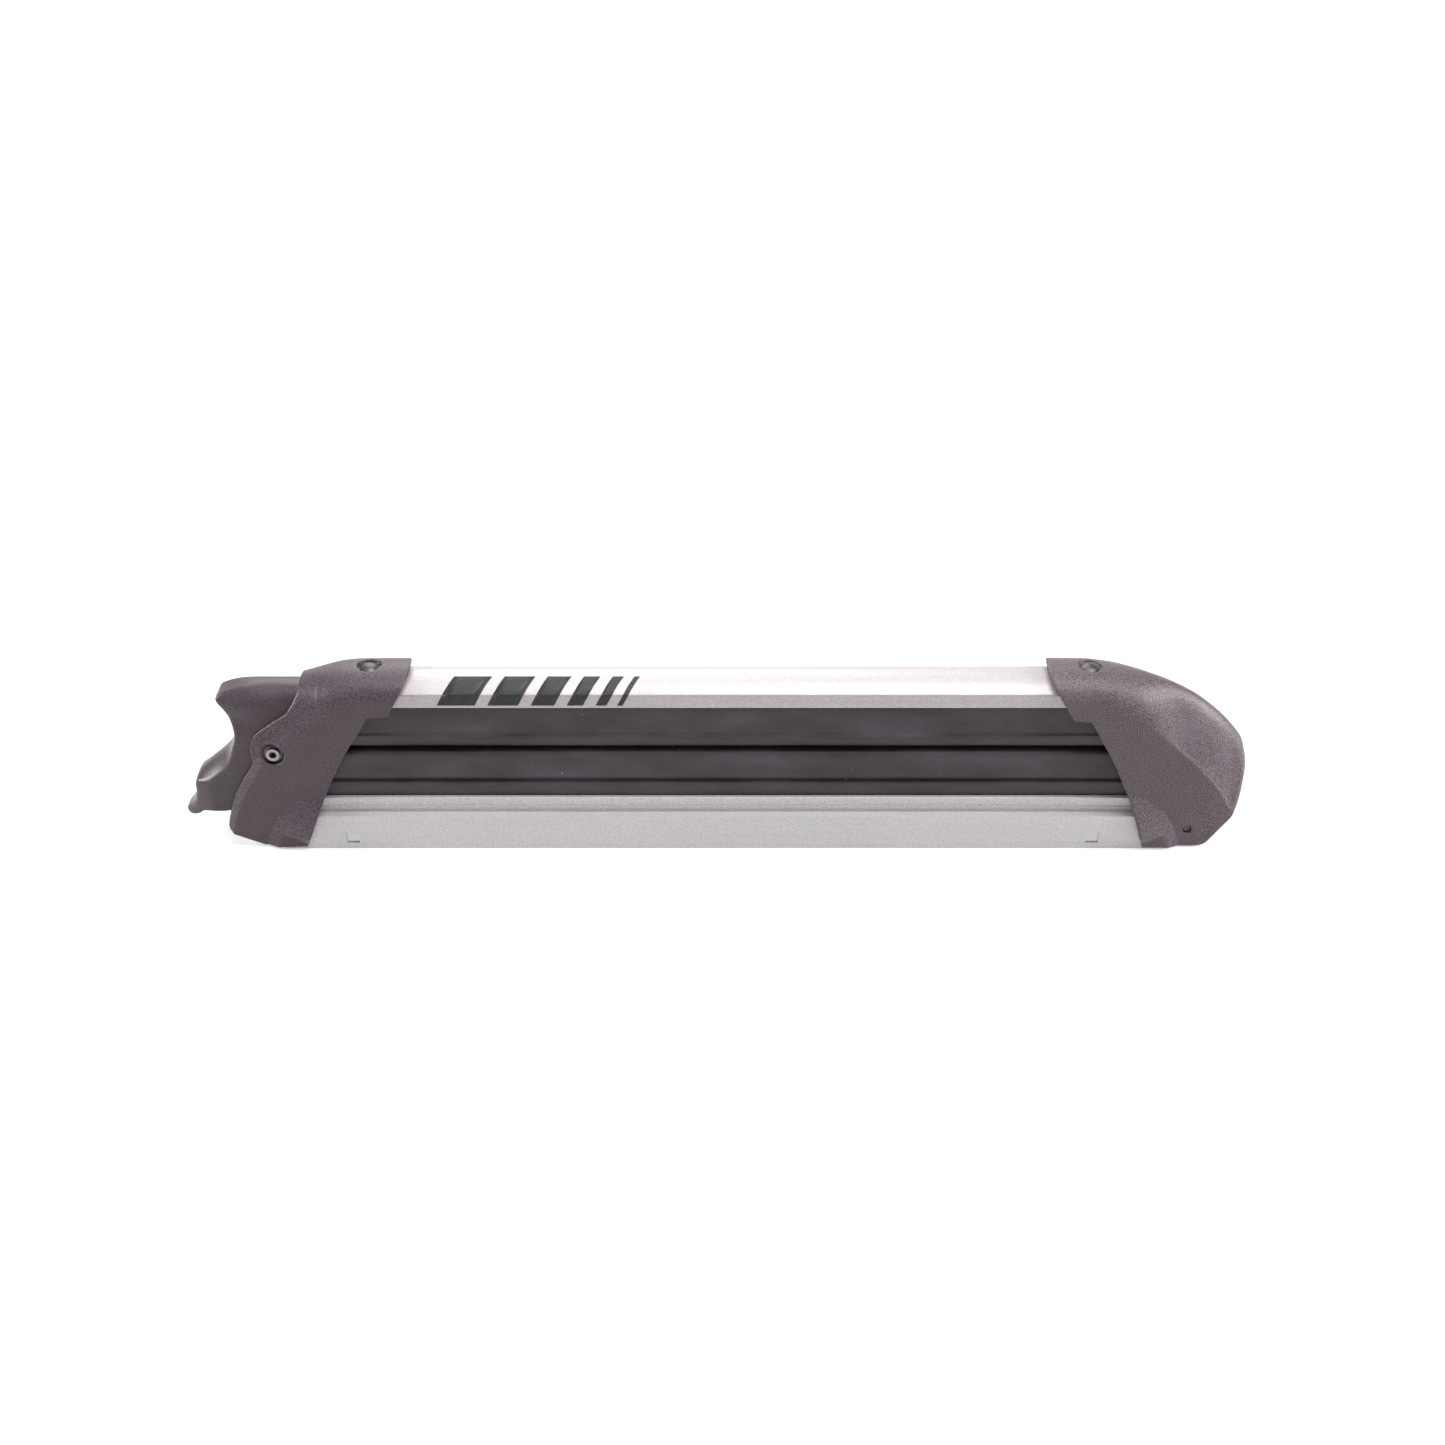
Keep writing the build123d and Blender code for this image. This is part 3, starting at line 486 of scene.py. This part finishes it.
# %% Lever
pivot = np.array([pivot_x, pivot_z])
beak_line = [
    (18.7, 37.0), (1.0, 38.0), (-12.0, 36.8), (-21.0, 35.0), (-27.0, 33.0), (-30.2, 31.2), (-31.2, 29.2),
    (-30.6, 27.0), (-27.8, 23.4), (-24.4, 18.4), (-22.3, 12.5), (-22.2, 6.0), (-25.8, -0.7),
]
front_line = [
    (-32.6, -7.8), (-40.9, -14.8), (-46.6, -19.8), (-48.6, -24.0), (-49.0, -31.0), (-52.6, -38.4),
    (-56.2, -43.2), (-57.0, -45.6), (-55.2, -47.4), (-51.6, -46.8), (-46.4, -43.0), (-41.0, -41.6),
]
back_line = [(-32.0, -41.2), (-20.5, -39.2), (-12.0, -24.0), (8.0, -15.0), (14.0, 0.0), (19.5, 20.0)]
lever_outline = np.vstack([through(beak_line + front_line), back_line]) + pivot
slot_outline = np.array([(-14.5, -60), (-12, -8), (-7, 20), (9, 20), (26, -10), (26, -60)]) + pivot


def lever_field(x, y, z):
    """Side view of the lever, met by its width, less the slot, bores and spring room."""
    s = np.abs(y)
    u, w = x - pivot_x, z - pivot_z
    pad = np.exp(-(((u + 36) / 13) ** 4) - ((w + 13) / 14) ** 4)
    heel = np.exp(-(((u + 52.5) / 5) ** 4) - ((w + 39) / 6) ** 4)
    fall = 5.6 * pad * (s / 12.5) ** 2 + 3.6 * heel * (s / 10) ** 2
    side = line_distance(x + 0 * fall, z + fall, lever_outline)
    beak = ramp((w - 12) / 10)
    valley = np.exp(-(((w - 18 - 0.35 * (u + 12)) / 6.5) ** 2)) * ramp((u + 34) / 14)
    half = 16.0 - 2.2 * valley - beak * 5.5 * ramp((-8 - u) / 26) - 0.6 * ramp((-20 - u) / 20)
    tail = 16.0 * np.sqrt(np.clip((u + 59.5) / 22, 0.02, 1))
    half = smooth_smaller(half, tail, 1.0)
    crown = domed(s, z, np.maximum(half, 6.0), pivot_z + 37.6, pivot_z + 20.0, 2.0)
    skin = meet(meet(side, s - half, 2.2 + 1.5 * beak), crown, 1.0)
    skin = cut(skin, np.maximum(s - 2.15, line_distance(x, z, slot_outline)), 0.3)
    skin = cut(skin, np.hypot(u, w) - 4.05, 0.2)
    near = np.minimum(np.hypot(u + 3.5, w + 15.5), np.hypot(u - 1.0, w - 14.5)) - 2.05
    skin = cut(skin, np.maximum(near, s - 14.9), 0.2)
    spring = np.maximum(np.hypot(u, w) - 10.4, np.abs(y + 7.8) - 5.0)
    return cut(skin, spring, 0.2)


lever_low, lever_high = corners("release_lever")
thumb_lever = moulded("thumb_lever", lever_field, lever_low, lever_high)
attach(thumb_lever, "lever")
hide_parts("release_lever")

# %% [markdown]
# ## The rubber pads
#
# A pad is one rubber section pushed out of a die and slid into its rail, so it is a
# profile carried along a straight path. Its shape is all in the profile: a foot in
# the rail's channel, a neck between the lips, and hollow-looking lobes with a thin
# bead between them. Every corner of the profile is rounded first, because rubber has
# no sharp edges.

# %% A rounded profile carried along the bar
def rounded(points, radius, steps=5):
    """Closed profile with each corner replaced by a curve.

    The curve is (1-t)^2 a + 2t(1-t) corner + t^2 b, with a and b a radius away from the
    corner along its two sides, or a third of the side where that is shorter.
    """
    p = np.array(points, float)
    back, ahead = np.roll(p, 1, 0) - p, np.roll(p, -1, 0) - p
    reach = np.array(radius) * np.ones(len(p))
    lb, la = np.linalg.norm(back, axis=1), np.linalg.norm(ahead, axis=1)
    a = p + back / lb[:, None] * np.minimum(reach, lb * 0.45)[:, None]
    b = p + ahead / la[:, None] * np.minimum(reach, la * 0.45)[:, None]
    t = np.linspace(0, 1, steps)[None, :, None]
    line = (1 - t) ** 2 * a[:, None] + 2 * t * (1 - t) * p[:, None] + t**2 * b[:, None]
    return line.reshape(-1, 2)


def carried(name, profile, stations):
    """Closed bar: a profile of (y, z) points repeated at each x, joined in rings, ends closed."""
    n, m = len(profile), len(stations)
    x = np.repeat(np.asarray(stations, float), n)
    points = np.column_stack([x, np.tile(profile, (m, 1))])
    i, j = np.meshgrid(np.arange(m - 1), np.arange(n), indexing="ij")
    k = (j + 1) % n
    walls = np.stack([i * n + j, i * n + k, (i + 1) * n + k, (i + 1) * n + j], -1).reshape(-1, 4)
    area = np.sum(profile[:, 0] * np.roll(profile[:, 1], -1) - np.roll(profile[:, 0], -1) * profile[:, 1])
    walls = walls if area < 0 else walls[:, ::-1]
    start = np.arange(n)
    finish = start + (m - 1) * n
    ends = [start[::-1].tolist(), finish.tolist()] if area > 0 else [start.tolist(), finish[::-1].tolist()]
    obj = piece(name, points, walls.tolist() + ends)
    obj.data.set_sharp_from_angle(angle=math.radians(40))
    return obj


def mirrored(right):
    """Whole profile from its right half, listed from top to bottom or bottom to top."""
    right = np.array(right, float)
    return np.vstack([right, right[::-1] * (-1, 1)])


lower_low, lower_high = corners("lower_pad")
upper_low, upper_high = corners("upper_pad")
foot, neck = 13.7, 11.3
rim = base_high[2]
lower_profile = mirrored(
    [
        (foot, lower_low[2]), (foot, rim - 2.1), (neck, rim - 2.1), (neck, rim + 0.4), (13.2, rim + 0.4),
        (13.6, rim + 1.6), (14.5, rim + 9.4), (12.7, rim + 11.0), (12.9, rim + 12.8), (15.5, rim + 13.8),
        (15.4, rim + 15.0), (14.1, rim + 27.3), (13.6, rim + 28.4), (12.0, lower_high[2]),
    ]
)
lip = arm_low[2]
upper_profile = mirrored(
    [
        (foot, upper_high[2]), (foot, lip + 2.1), (neck, lip + 2.1), (neck, lip - 0.4), (14.0, lip - 0.4),
        (14.4, lip - 1.6), (14.9, lip - 17.2), (15.7, lip - 18.3), (15.7, lip - 19.2), (14.5, lip - 19.9),
        (13.9, lip - 20.8), (12.0, lip - 26.6), (10.2, upper_low[2]),
    ]
)
lower_rubber = carried("lower_rubber", rounded(lower_profile, 1.1), [lower_low[0], lower_high[0]])
upper_rubber = carried("upper_rubber", rounded(upper_profile, 0.9), [upper_low[0], upper_high[0]])
for pad, body, node in ((lower_rubber, "base", "lower_pad"), (upper_rubber, "arm", "upper_pad")):
    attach(pad, body)
    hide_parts(node)

# %% [markdown]
# ## A plain graphic on the arm
#
# The arm carries a printed graphic that wraps from its side over its shoulder. Here
# it is a row of slanted bars, which belongs to nobody. Each bar is a thin film that
# follows the arm's own section, so it bends over the shoulder as ink would.

# %% Printed bars
def arm_skin(v):
    """Point (y, z) on the near side of the arm's section, v mm up from its lower edge."""
    side_top = arm_high[2] - crown_rise
    arc_start = math.asin(rail_half / crown_radius)
    straight = side_top - arm_low[2]
    swing = arc_start - np.clip(v - straight, 0, None) / crown_radius
    y = np.where(v < straight, -rail_half, -crown_radius * np.sin(swing))
    z = np.where(v < straight, arm_low[2] + v, arm_high[2] - crown_radius * (1 - np.cos(swing)))
    return y, z


def printed_bar(start, width, low, high, lean):
    """One slanted bar: a grid over (along the bar, up the section), leaning with height."""
    across, up = 5, 40
    u, v = np.meshgrid(np.linspace(0, width, across), np.linspace(low, high, up), indexing="ij")
    y, z = arm_skin(v)
    x = start + u + lean * (v - low)
    dy, dz = np.gradient(y, axis=1), np.gradient(z, axis=1)
    size = np.hypot(dy, dz)
    points = np.stack([x, y - 0.08 * dz / size, z + 0.08 * dy / size], -1).reshape(-1, 3)
    i, j = np.meshgrid(np.arange(across - 1), np.arange(up - 1), indexing="ij")
    a = i * up + j
    return points, np.stack([a, a + up, a + up + 1, a + 1], -1).reshape(-1, 4)


# each bar's start along the arm, and its width
bars = [(-153, 21), (-125, 17), (-101, 13), (-81, 9), (-65, 6), (-53, 3)]
film_points, film_faces, count = [], [], 0
for start, width in bars:
    points, faces = printed_bar(start, width, 1.6, 20.5, 0.5)
    film_points.append(points)
    film_faces.append(faces + count)
    count += len(points)
arm_print = piece("arm_print", np.vstack(film_points), np.vstack(film_faces).tolist())
film = arm_print.modifiers.new("film", "SOLIDIFY")
film.thickness = 0.00006
film.offset = 1.0
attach(arm_print, "arm")

# %% [markdown]
# ## Finishes
#
# Each finish is a small tree of nodes on the object's own coordinates, so the grain
# has its real size and stays put from every side. Moulded plastic has a fine spark
# texture: a noise about half a millimetre across that bends the surface and mottles
# the colour. Anodised aluminium has a finer, frosted grain with faint draw marks
# along the bar. Rubber is dull, with smudges and a few specks of dust.

# %% Node helpers
def new_finish(name, colour, metallic, roughness):
    """A material with its shader's own sockets set, and its nodes and links to build on."""
    material = bpy.data.materials.new(name)
    material.use_nodes = True
    tree = material.node_tree
    shader = tree.nodes["Principled BSDF"]
    shader.inputs["Base Color"].default_value = (*colour, 1)
    shader.inputs["Metallic"].default_value = metallic
    shader.inputs["Roughness"].default_value = roughness
    return material, tree, shader


def noise(tree, scale, detail=3.0, stretch=(1, 1, 1), roughness=0.5):
    """Noise on object coordinates. The scale is in patches a metre, and stretch slows an axis."""
    place = tree.nodes.new("ShaderNodeTexCoord")
    mapping = tree.nodes.new("ShaderNodeMapping")
    mapping.inputs["Scale"].default_value = stretch
    tree.links.new(place.outputs["Object"], mapping.inputs["Vector"])
    texture = tree.nodes.new("ShaderNodeTexNoise")
    texture.inputs["Scale"].default_value = scale
    texture.inputs["Detail"].default_value = detail
    texture.inputs["Roughness"].default_value = roughness
    tree.links.new(mapping.outputs["Vector"], texture.inputs["Vector"])
    return texture.outputs["Fac"]


def ranged(tree, value, low, high, to_low, to_high):
    """Maps a value from one range to another."""
    node = tree.nodes.new("ShaderNodeMapRange")
    node.inputs["From Min"].default_value = low
    node.inputs["From Max"].default_value = high
    node.inputs["To Min"].default_value = to_low
    node.inputs["To Max"].default_value = to_high
    tree.links.new(value, node.inputs["Value"])
    return node.outputs["Result"]


def blended(tree, factor, first, second):
    """Mixes two colours, or a colour into an earlier mix, by a factor."""
    node = tree.nodes.new("ShaderNodeMix")
    node.data_type = "RGBA"
    tree.links.new(factor, node.inputs["Factor"])
    for socket, colour in ((node.inputs[6], first), (node.inputs[7], second)):
        if isinstance(colour, tuple):
            socket.default_value = (*colour, 1)
        else:
            tree.links.new(colour, socket)
    return node.outputs[2]


def raised(tree, shader, height, depth, strength=1.0):
    """Bends the surface by a height, with a depth in metres."""
    bump = tree.nodes.new("ShaderNodeBump")
    bump.inputs["Distance"].default_value = depth
    bump.inputs["Strength"].default_value = strength
    tree.links.new(height, bump.inputs["Height"])
    tree.links.new(bump.outputs["Normal"], shader.inputs["Normal"])


# %% Moulded plastics
def moulded_plastic(name, dark, light, roughness, grain, depth):
    """Grained plastic: mottled colour, uneven gloss and a spark texture of the given grain."""
    material, tree, shader = new_finish(name, dark, 0.0, roughness)
    shader.inputs["Specular IOR Level"].default_value = 0.24
    spark = noise(tree, grain, 2.0, roughness=0.6)
    cloud = noise(tree, 45, 3.0)
    mottled = blended(tree, ranged(tree, spark, 0.36, 0.66, 0, 1), dark, light)
    worn = blended(tree, ranged(tree, cloud, 0.5, 0.78, 0, 0.3), mottled, light)
    tree.links.new(worn, shader.inputs["Base Color"])
    gloss = ranged(tree, cloud, 0.3, 0.7, roughness - 0.05, roughness + 0.08)
    tree.links.new(gloss, shader.inputs["Roughness"])
    raised(tree, shader, spark, depth, 0.8)
    return material


cap_plastic = moulded_plastic(
    "cap_grain", (0.027, 0.019, 0.024), (0.092, 0.069, 0.083), 0.34, 1400, 0.00016
)
lever_plastic = moulded_plastic(
    "lever_satin", (0.032, 0.023, 0.029), (0.070, 0.053, 0.064), 0.33, 1700, 0.00006
)
# The hinge cap is the same plastic as the release cap. Its lighter colours are painted light, standing for
# the light that falls on that end.
hinge_plastic_painted_light = moulded_plastic(
    "hinge_grain_painted_light", (0.036, 0.027, 0.032), (0.130, 0.104, 0.119), 0.38, 1400, 0.00018
)
block_plastic = moulded_plastic(
    "block_nylon", (0.020, 0.020, 0.022), (0.045, 0.043, 0.045), 0.55, 900, 0.0001
)


# %% Anodised aluminium
def anodised(name, dark, light):
    """Frosted aluminium: fine grain, faint draw marks along the bar and soft clouds."""
    material, tree, shader = new_finish(name, dark, 0.35, 0.42)
    frost = noise(tree, 1900, 2.0, roughness=0.65)
    drawn = noise(tree, 700, 3.0, stretch=(0.012, 1, 1))
    cloud = noise(tree, 18, 2.0)
    fine = blended(tree, ranged(tree, frost, 0.35, 0.65, 0, 1), dark, light)
    streaked = blended(tree, ranged(tree, drawn, 0.55, 0.8, 0, 0.25), fine, dark)
    tree.links.new(streaked, shader.inputs["Base Color"])
    tree.links.new(ranged(tree, cloud, 0.3, 0.7, 0.38, 0.48), shader.inputs["Roughness"])
    raised(tree, shader, frost, 0.00004, 0.7)
    return material


arm_metal = anodised("arm_anodised", (0.28, 0.258, 0.268), (0.42, 0.39, 0.402))
base_metal = anodised("base_anodised", (0.33, 0.315, 0.318), (0.53, 0.51, 0.515))


# %% Rubber
def rubber(name, dark, light):
    """Dull rubber: smudges along the bar, fine grain, and rare specks of dust."""
    material, tree, shader = new_finish(name, dark, 0.0, 0.6)
    smudge = noise(tree, 60, 4.0, stretch=(0.35, 1, 1))
    fine = noise(tree, 1400, 2.0)
    dust = noise(tree, 420, 1.0)
    base = blended(tree, ranged(tree, smudge, 0.38, 0.7, 0, 1), dark, light)
    dusty = blended(tree, ranged(tree, dust, 0.80, 0.84, 0, 0.75), base, (0.38, 0.35, 0.36))
    tree.links.new(dusty, shader.inputs["Base Color"])
    tree.links.new(ranged(tree, smudge, 0.3, 0.75, 0.5, 0.68), shader.inputs["Roughness"])
    raised(tree, shader, fine, 0.00006, 0.5)
    return material


pad_rubber = rubber("pad_rubber", (0.012, 0.007, 0.011), (0.048, 0.034, 0.045))


# %% Small metal parts and ink
def plated(name, colour, roughness, metallic=1.0):
    """Plated or oiled metal: fine turning marks and patches of uneven gloss."""
    material, tree, shader = new_finish(name, colour, metallic, roughness)
    patch = noise(tree, 260, 3.0)
    fine = noise(tree, 2200, 2.0)
    pale = tuple(min(1.0, c * 1.25 + 0.01) for c in colour)
    patched = blended(tree, ranged(tree, patch, 0.35, 0.7, 0, 1), colour, pale)
    tree.links.new(patched, shader.inputs["Base Color"])
    gloss = ranged(tree, patch, 0.3, 0.7, roughness - 0.06, roughness + 0.1)
    tree.links.new(gloss, shader.inputs["Roughness"])
    raised(tree, shader, fine, 0.00003, 0.5)
    return material


zinc = plated("zinc_plate", (0.62, 0.61, 0.60), 0.30)
black_steel = plated("black_oxide_and_pin_shade", (0.055, 0.050, 0.053), 0.36, 0.6)
brass = plated("brass_insert", (0.70, 0.50, 0.22), 0.32)
# The pivot screw's head is darker than its plated steel would be: painted shade of the deep recess it sits
# in.
screw_steel_painted_shade = plated("screw_steel_painted_shade", (0.20, 0.19, 0.195), 0.26)
spring_steel = plated("spring_steel", (0.42, 0.42, 0.43), 0.28)
nylon = moulded_plastic("nylon_bush", (0.55, 0.54, 0.50), (0.68, 0.67, 0.63), 0.45, 900, 0.00004)
ink = moulded_plastic("bar_ink", (0.012, 0.011, 0.012), (0.030, 0.028, 0.030), 0.42, 1500, 0.00002)

# %% Give every piece its finish
finishes = {
    "anodised_aluminium": base_metal,
    "cap_plastic": cap_plastic,
    "lever_plastic": lever_plastic,
    "rubber_black": pad_rubber,
    "block_plastic": block_plastic,
    "zinc_steel": zinc,
    "black_steel": black_steel,
    "brass": brass,
    "spring_steel": spring_steel,
    "nylon": nylon,
}
# The hinge pin takes the black oxide finish, and the pivot screw its darker steel, as painted shade of the
# recesses they sit in.
own_finish = {"arm_rail": arm_metal, "lever_pivot_screw": screw_steel_painted_shade, "hinge_pin": black_steel}
slot_of = {part["node"]: part["material_slot"] for part in frame["record"]["subparts"]}
for name, obj in nodes.items():
    finish = own_finish.get(name, finishes[slot_of[name]])
    for place in obj.material_slots:
        place.material = finish
    if not obj.material_slots:
        obj.data.materials.append(finish)
for obj, finish in (
    (release_cap, cap_plastic), (hinge_cover, hinge_plastic_painted_light), (thumb_lever, lever_plastic),
    (lower_rubber, pad_rubber), (upper_rubber, pad_rubber), (arm_print, ink),
):
    obj.data.materials.append(finish)
print(len(nodes), "CAD parts have a finish")

# %% [markdown]
# ## Floor, light and camera
#
# A wide pale sheet that curves up behind the bar keeps the picture plain. It glows a
# little, as a light table does, so that the square holes and the space under the bar
# stay pale. A broad sun from above makes the tops lighter than the sides, a soft lamp
# overhead draws the long highlights, and lamps at the left, right and back light the
# bevels and rims. The world adds an even white.

# %% Pale sweep
rows = 60
bend = 1.2  # the sheet starts to rise this far behind the bar, in metres
u, v = np.meshgrid(np.linspace(-2.5, 2.5, 3), np.linspace(-2.2, 3.2, rows), indexing="ij")
rise = np.where(v > bend, (v - bend) ** 2 * 0.6, 0.0)
floor_points = np.stack([u, v, rise - 0.0004], -1).reshape(-1, 3)
i, j = np.meshgrid(np.arange(2), np.arange(rows - 1), indexing="ij")
a = i * rows + j
floor_faces = np.stack([a, a + rows, a + rows + 1, a + 1], -1).reshape(-1, 4)
floor = piece("floor", floor_points / MM, floor_faces.tolist())
floor_paint, tree, shader = new_finish("floor_paint", (0.45, 0.45, 0.45), 0.0, 0.8)
shader.inputs["Emission Color"].default_value = (1, 1, 1, 1)
shader.inputs["Emission Strength"].default_value = 0.50
floor.data.materials.append(floor_paint)


# %% Lamps and world
def lamp(name, place, aim, size, power, colour=(1, 1, 1)):
    """Square soft lamp at a place, turned to face a point."""
    data = bpy.data.lights.new(name, "AREA")
    data.size = size
    data.energy = power
    data.color = colour
    obj = bpy.data.objects.new(name, data)
    direction = np.array(aim, float) - np.array(place, float)
    yaw = math.atan2(direction[0], -direction[1])
    pitch = math.acos(-direction[2] / np.linalg.norm(direction))
    obj.location = place
    obj.rotation_euler = (pitch, 0, yaw + math.pi)
    bpy.context.scene.collection.objects.link(obj)
    return obj


sun = bpy.data.lights.new("overhead", "SUN")
sun.energy = 2.1
sun.angle = math.radians(24)
overhead = bpy.data.objects.new("overhead", sun)
overhead.rotation_euler = (math.radians(10), math.radians(20), 0)
bpy.context.scene.collection.objects.link(overhead)
lamp("ceiling", (0, -0.12, 1.15), (0, 0, 0.05), 0.8, 9.0)
lamp("left", (-1.2, -0.10, 0.50), (-0.25, 0, 0.04), 0.4, 16)
lamp("back", (-0.2, 0.9, 1.0), (0, 0, 0.08), 1.0, 14)
lamp("right", (1.2, -0.10, 0.50), (0.26, 0, 0.06), 0.4, 18)
world = bpy.data.worlds.new("studio")
world.use_nodes = True
world.node_tree.nodes["Background"].inputs["Color"].default_value = (1.0, 1.0, 1.0, 1)
world.node_tree.nodes["Background"].inputs["Strength"].default_value = 0.14
bpy.context.scene.world = world
bpy.context.scene.view_settings.view_transform = "Standard"

# %% Camera
camera_data = bpy.data.cameras.new("camera")
camera_data.sensor_width = 36.0
camera_data.lens = 52.3
camera_data.clip_end = 20.0
camera = bpy.data.objects.new("camera", camera_data)
elevation = math.radians(31)
distance = 1.1865
target = (0.00525, 0.0, 0.0707)
camera.location = (
    target[0],
    target[1] - distance * math.cos(elevation),
    target[2] + distance * math.sin(elevation),
)
camera.rotation_euler = (math.pi / 2 - elevation, 0, 0)
bpy.context.scene.collection.objects.link(camera)
bpy.context.scene.camera = camera
